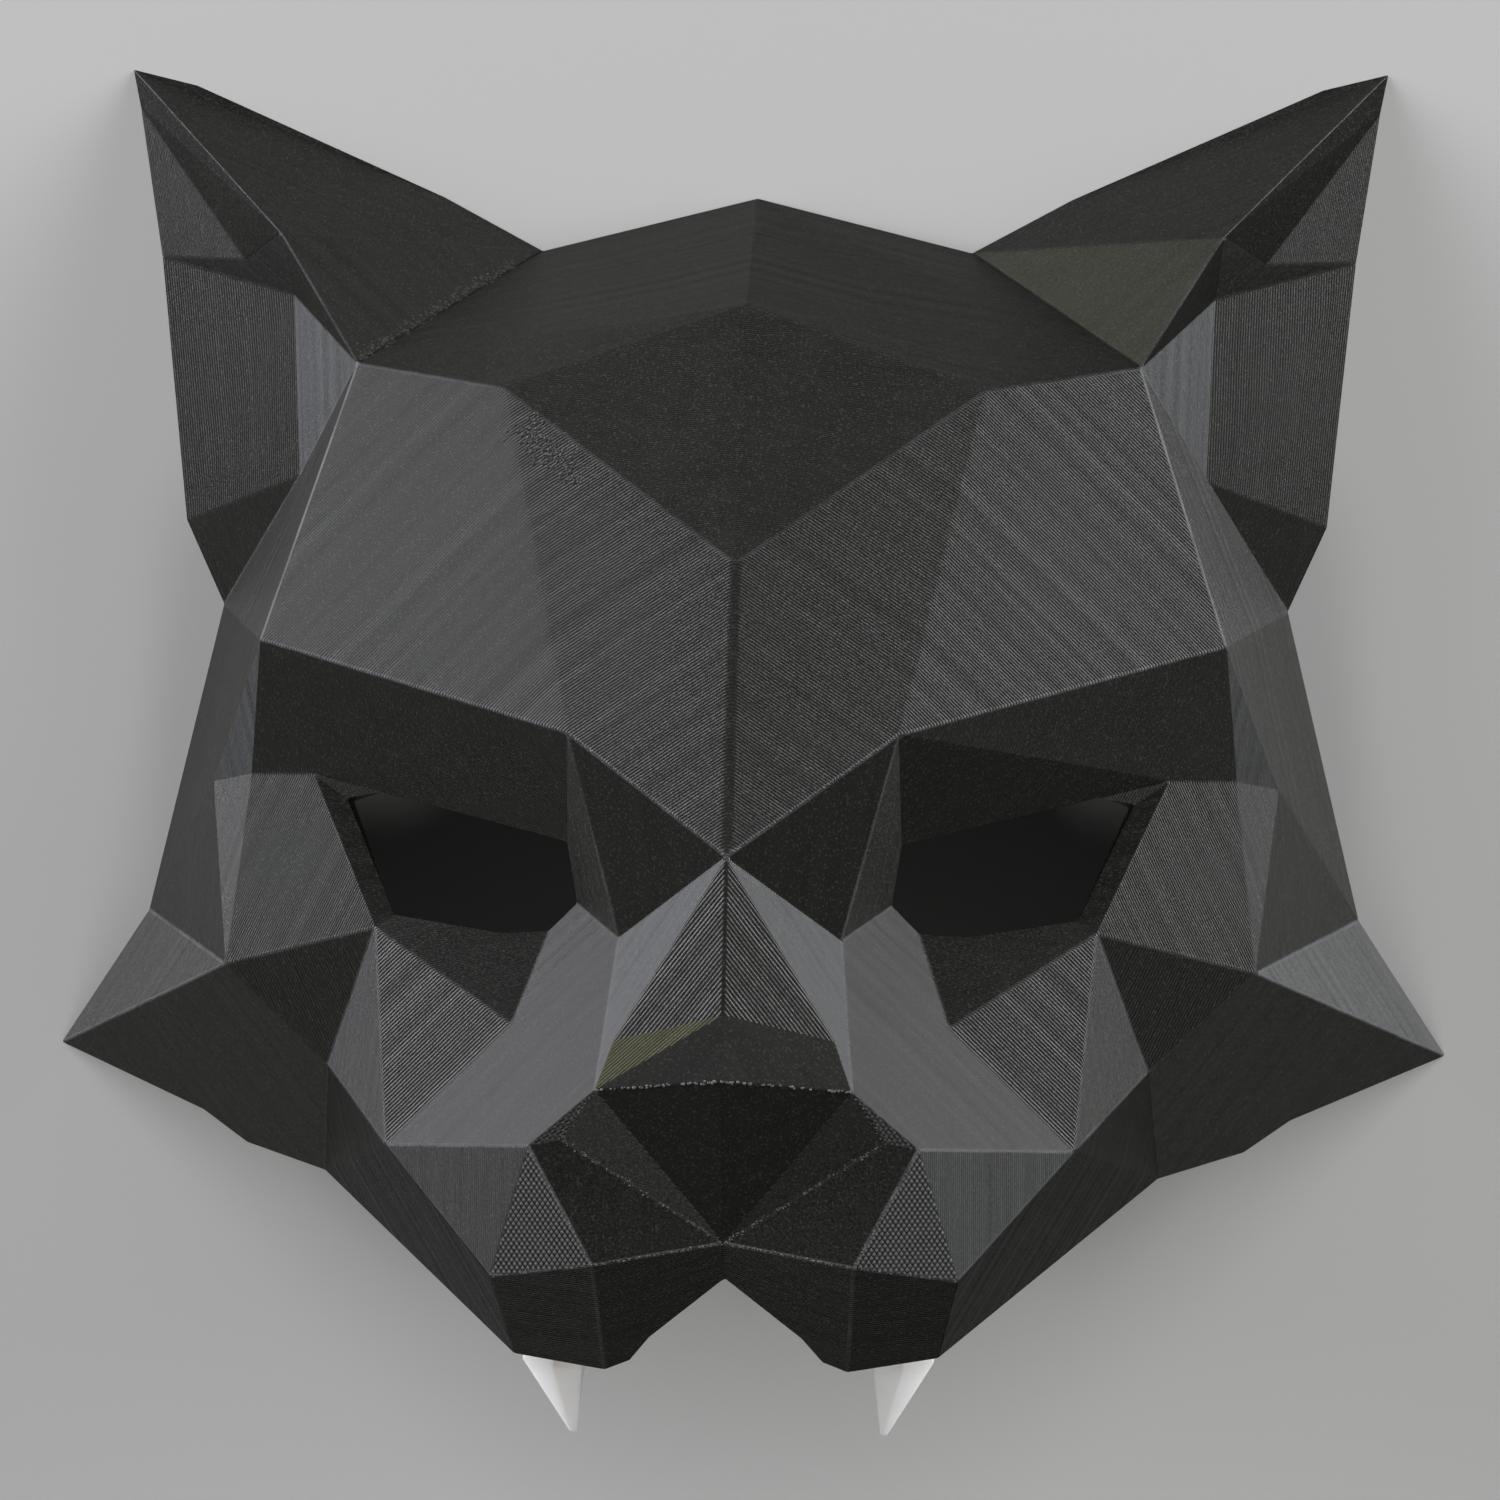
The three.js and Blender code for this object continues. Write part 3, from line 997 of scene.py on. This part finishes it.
BRIGHT_ENDS: tuple[Row, ...] = (
    ("nose top", (0.0, -42.0, 77.0), (15.6, -43.3, 73.5), 44, 0.21, 0.14, BOTH),
    ("nose wing", (15.6, -43.3, 73.5), (19.7, -49.4, 71.8), 22, 0.15, 0.35, BOTH),
    ("nose foot", (19.7, -49.4, 71.8), (0.0, -62.0, 68.9), 80, 0.15, 0.28, BOTH),
    ("nose side", (13.7, -25.3, 59.0), (15.6, -43.3, 73.5), 60, 0.12, 0.20, (Side.RIGHT,)),
    ("lip", (0.0, -62.0, 68.9), (15.9, -64.7, 71.2), 56, 0.15, 0.16, BOTH),
    ("brow", (20.5, 0.0, 56.5), (0.0, -15.0, 70.0), 90, 0.10, 0.04, BOTH),
    ("muzzle edge", (23.7, -50.2, 72.4), (15.9, -64.7, 71.2), 70, 0.12, 0.08, BOTH),
    ("muzzle foot", (15.9, -64.7, 71.2), (28.5, -66.3, 68.6), 40, 0.11, 0.12, BOTH),
)
ROUGH_SPOTS: tuple[Row, ...] = (
    ("ear crease", (31.6, 61.2, 4.0), (50.0, 47.6, 23.3), 260, 0.21, 0.85, (Side.LEFT,)),
    ("forehead spot", (28.0, 38.5, 36.0), (20.5, 32.0, 41.3), 130, 0.36, 1.90, (Side.LEFT,)),
)


@dataclass
class Fang:
    """One white fang with its root behind the lip."""

    side: Side
    flat_deg: float = 1.0
    sharp_deg: float = 4.0
    rounding_m: float = 0.3 * MM

    def build(self, material: bpy.types.Material) -> bpy.types.Object:
        """Build and dress the fang.

        Args:
            material: Finish of the fang.

        Returns:
            The piece that stands for the CAD fang.
        """
        name = f"fang_{self.side.name.lower()}"
        mesh = merged_copy(name)
        join_flat(mesh, self.flat_deg)
        weigh_edges(mesh, self.sharp_deg)
        piece = placed(mesh, f"{name}_print", material)
        round_edges(piece, self.rounding_m, flat=False)
        settle(piece)
        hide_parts(name)
        return piece


@dataclass(frozen=True)
class Softbox:
    """A soft studio light round the mask."""

    name: str
    azimuth_deg: float
    elevation_deg: float
    distance_m: float
    width_m: float
    height_m: float
    power_w: float
    tint: Colour

    def place(self, target: Vector) -> None:
        """Add the light, aimed at a point.

        Args:
            target: Point that the light is aimed at.
        """
        azimuth = math.radians(self.azimuth_deg)
        elevation = math.radians(self.elevation_deg)
        flat = math.cos(elevation)
        away = Vector((math.cos(azimuth) * flat, math.sin(azimuth) * flat, math.sin(elevation)))
        data = bpy.data.lights.new(self.name, "AREA")
        data.shape = "RECTANGLE"
        data.size = self.width_m
        data.size_y = self.height_m
        data.energy = self.power_w
        data.color = self.tint
        light = bpy.data.objects.new(self.name, data)
        light.location = target + away * self.distance_m
        light.rotation_mode = "QUATERNION"
        light.rotation_quaternion = away.to_track_quat("Z", "Y")
        light.visible_camera = False
        bpy.context.scene.collection.objects.link(light)


@dataclass
class Studio:
    """Pale floor, soft light from both upper sides, and the camera straight above."""

    floor_half_m: float = 4.0
    floor_drop_m: float = 0.05 * MM
    world_grey: float = 0.085
    camera_at: Point = (0.04495, -0.0020, 0.9990)
    camera_yaw_deg: float = 2.6
    camera_roll_deg: float = 0.474
    sensor_mm: float = 36.0
    lens_mm: float = 183.9
    clip_m: tuple[float, float] = (0.05, 20.0)
    target: Point = (0.0, 0.0, 0.03)
    # Columns: name, azimuth and elevation, distance, width and height, power, tint.
    softboxes: tuple[Softbox, ...] = (
        Softbox("softbox right", 30.0, 12.0, 1.3, 1.2, 0.5, 23.7, (0.968, 0.978, 1.0)),
        Softbox("softbox left", 150.0, 12.0, 1.3, 1.2, 0.5, 25.8, (0.940, 0.945, 1.0)),
        Softbox("fill right", -45.0, 60.0, 1.3, 0.3, 0.3, 2.8, (1.0, 0.99, 0.97)),
        Softbox("fill left", -135.0, 60.0, 1.3, 0.3, 0.3, 2.8, (1.0, 0.99, 0.97)),
    )

    def build(self) -> None:
        """Set up floor, light and camera."""
        self.floor()
        self.world()
        for softbox in self.softboxes:
            softbox.place(Vector(self.target))
        self.camera()

    def floor(self) -> None:
        """Lay the floor just under the back rim."""
        mesh = bmesh.new()
        below = Matrix.Translation((0.0, 0.0, -self.floor_drop_m))
        bmesh.ops.create_grid(mesh, x_segments=1, y_segments=1, size=self.floor_half_m, matrix=below)
        data = bpy.data.meshes.new("floor")
        mesh.to_mesh(data)
        mesh.free()
        data.materials.append(PaleFloor().material())
        floor = bpy.data.objects.new("floor", data)
        bpy.context.scene.collection.objects.link(floor)

    def world(self) -> None:
        """Fill the room with an even, dim light."""
        world = bpy.data.worlds.new("studio")
        world.use_nodes = True
        background = world.node_tree.nodes["Background"]
        background.inputs[0].default_value = (*[self.world_grey] * 3, 1.0)
        bpy.context.scene.world = world
        bpy.context.scene.view_settings.view_transform = "Standard"

    def camera(self) -> None:
        """Place the camera at the photograph's angle."""
        data = bpy.data.cameras.new("camera")
        data.sensor_width = self.sensor_mm
        data.lens = self.lens_mm
        data.clip_start, data.clip_end = self.clip_m
        camera = bpy.data.objects.new("camera", data)
        yaw = Matrix.Rotation(math.radians(self.camera_yaw_deg), 4, "Y")
        roll = Matrix.Rotation(math.radians(self.camera_roll_deg), 4, "Z")
        camera.matrix_world = Matrix.Translation(self.camera_at) @ yaw @ roll
        bpy.context.scene.collection.objects.link(camera)
        bpy.context.scene.camera = camera


def main() -> None:
    """Build the mask's pieces and the studio in order."""
    logging.basicConfig(level=logging.INFO, format="%(name)s: %(message)s")
    Studio().build()
    white = WhitePrint().material()
    shell = Shell()
    shell.build(BlackPrint().material())
    skin = shell.skin()
    LayerEnds("layer_ends", BRIGHT_ENDS).build(GLINTING_PRINT.material(), skin)
    LayerEnds("rough_spots", ROUGH_SPOTS, thickness=0.45).build(ROUGH_PRINT.material(), skin)
    for side in Side:
        Fang(side).build(white)


if __name__ == "__main__":
    main()
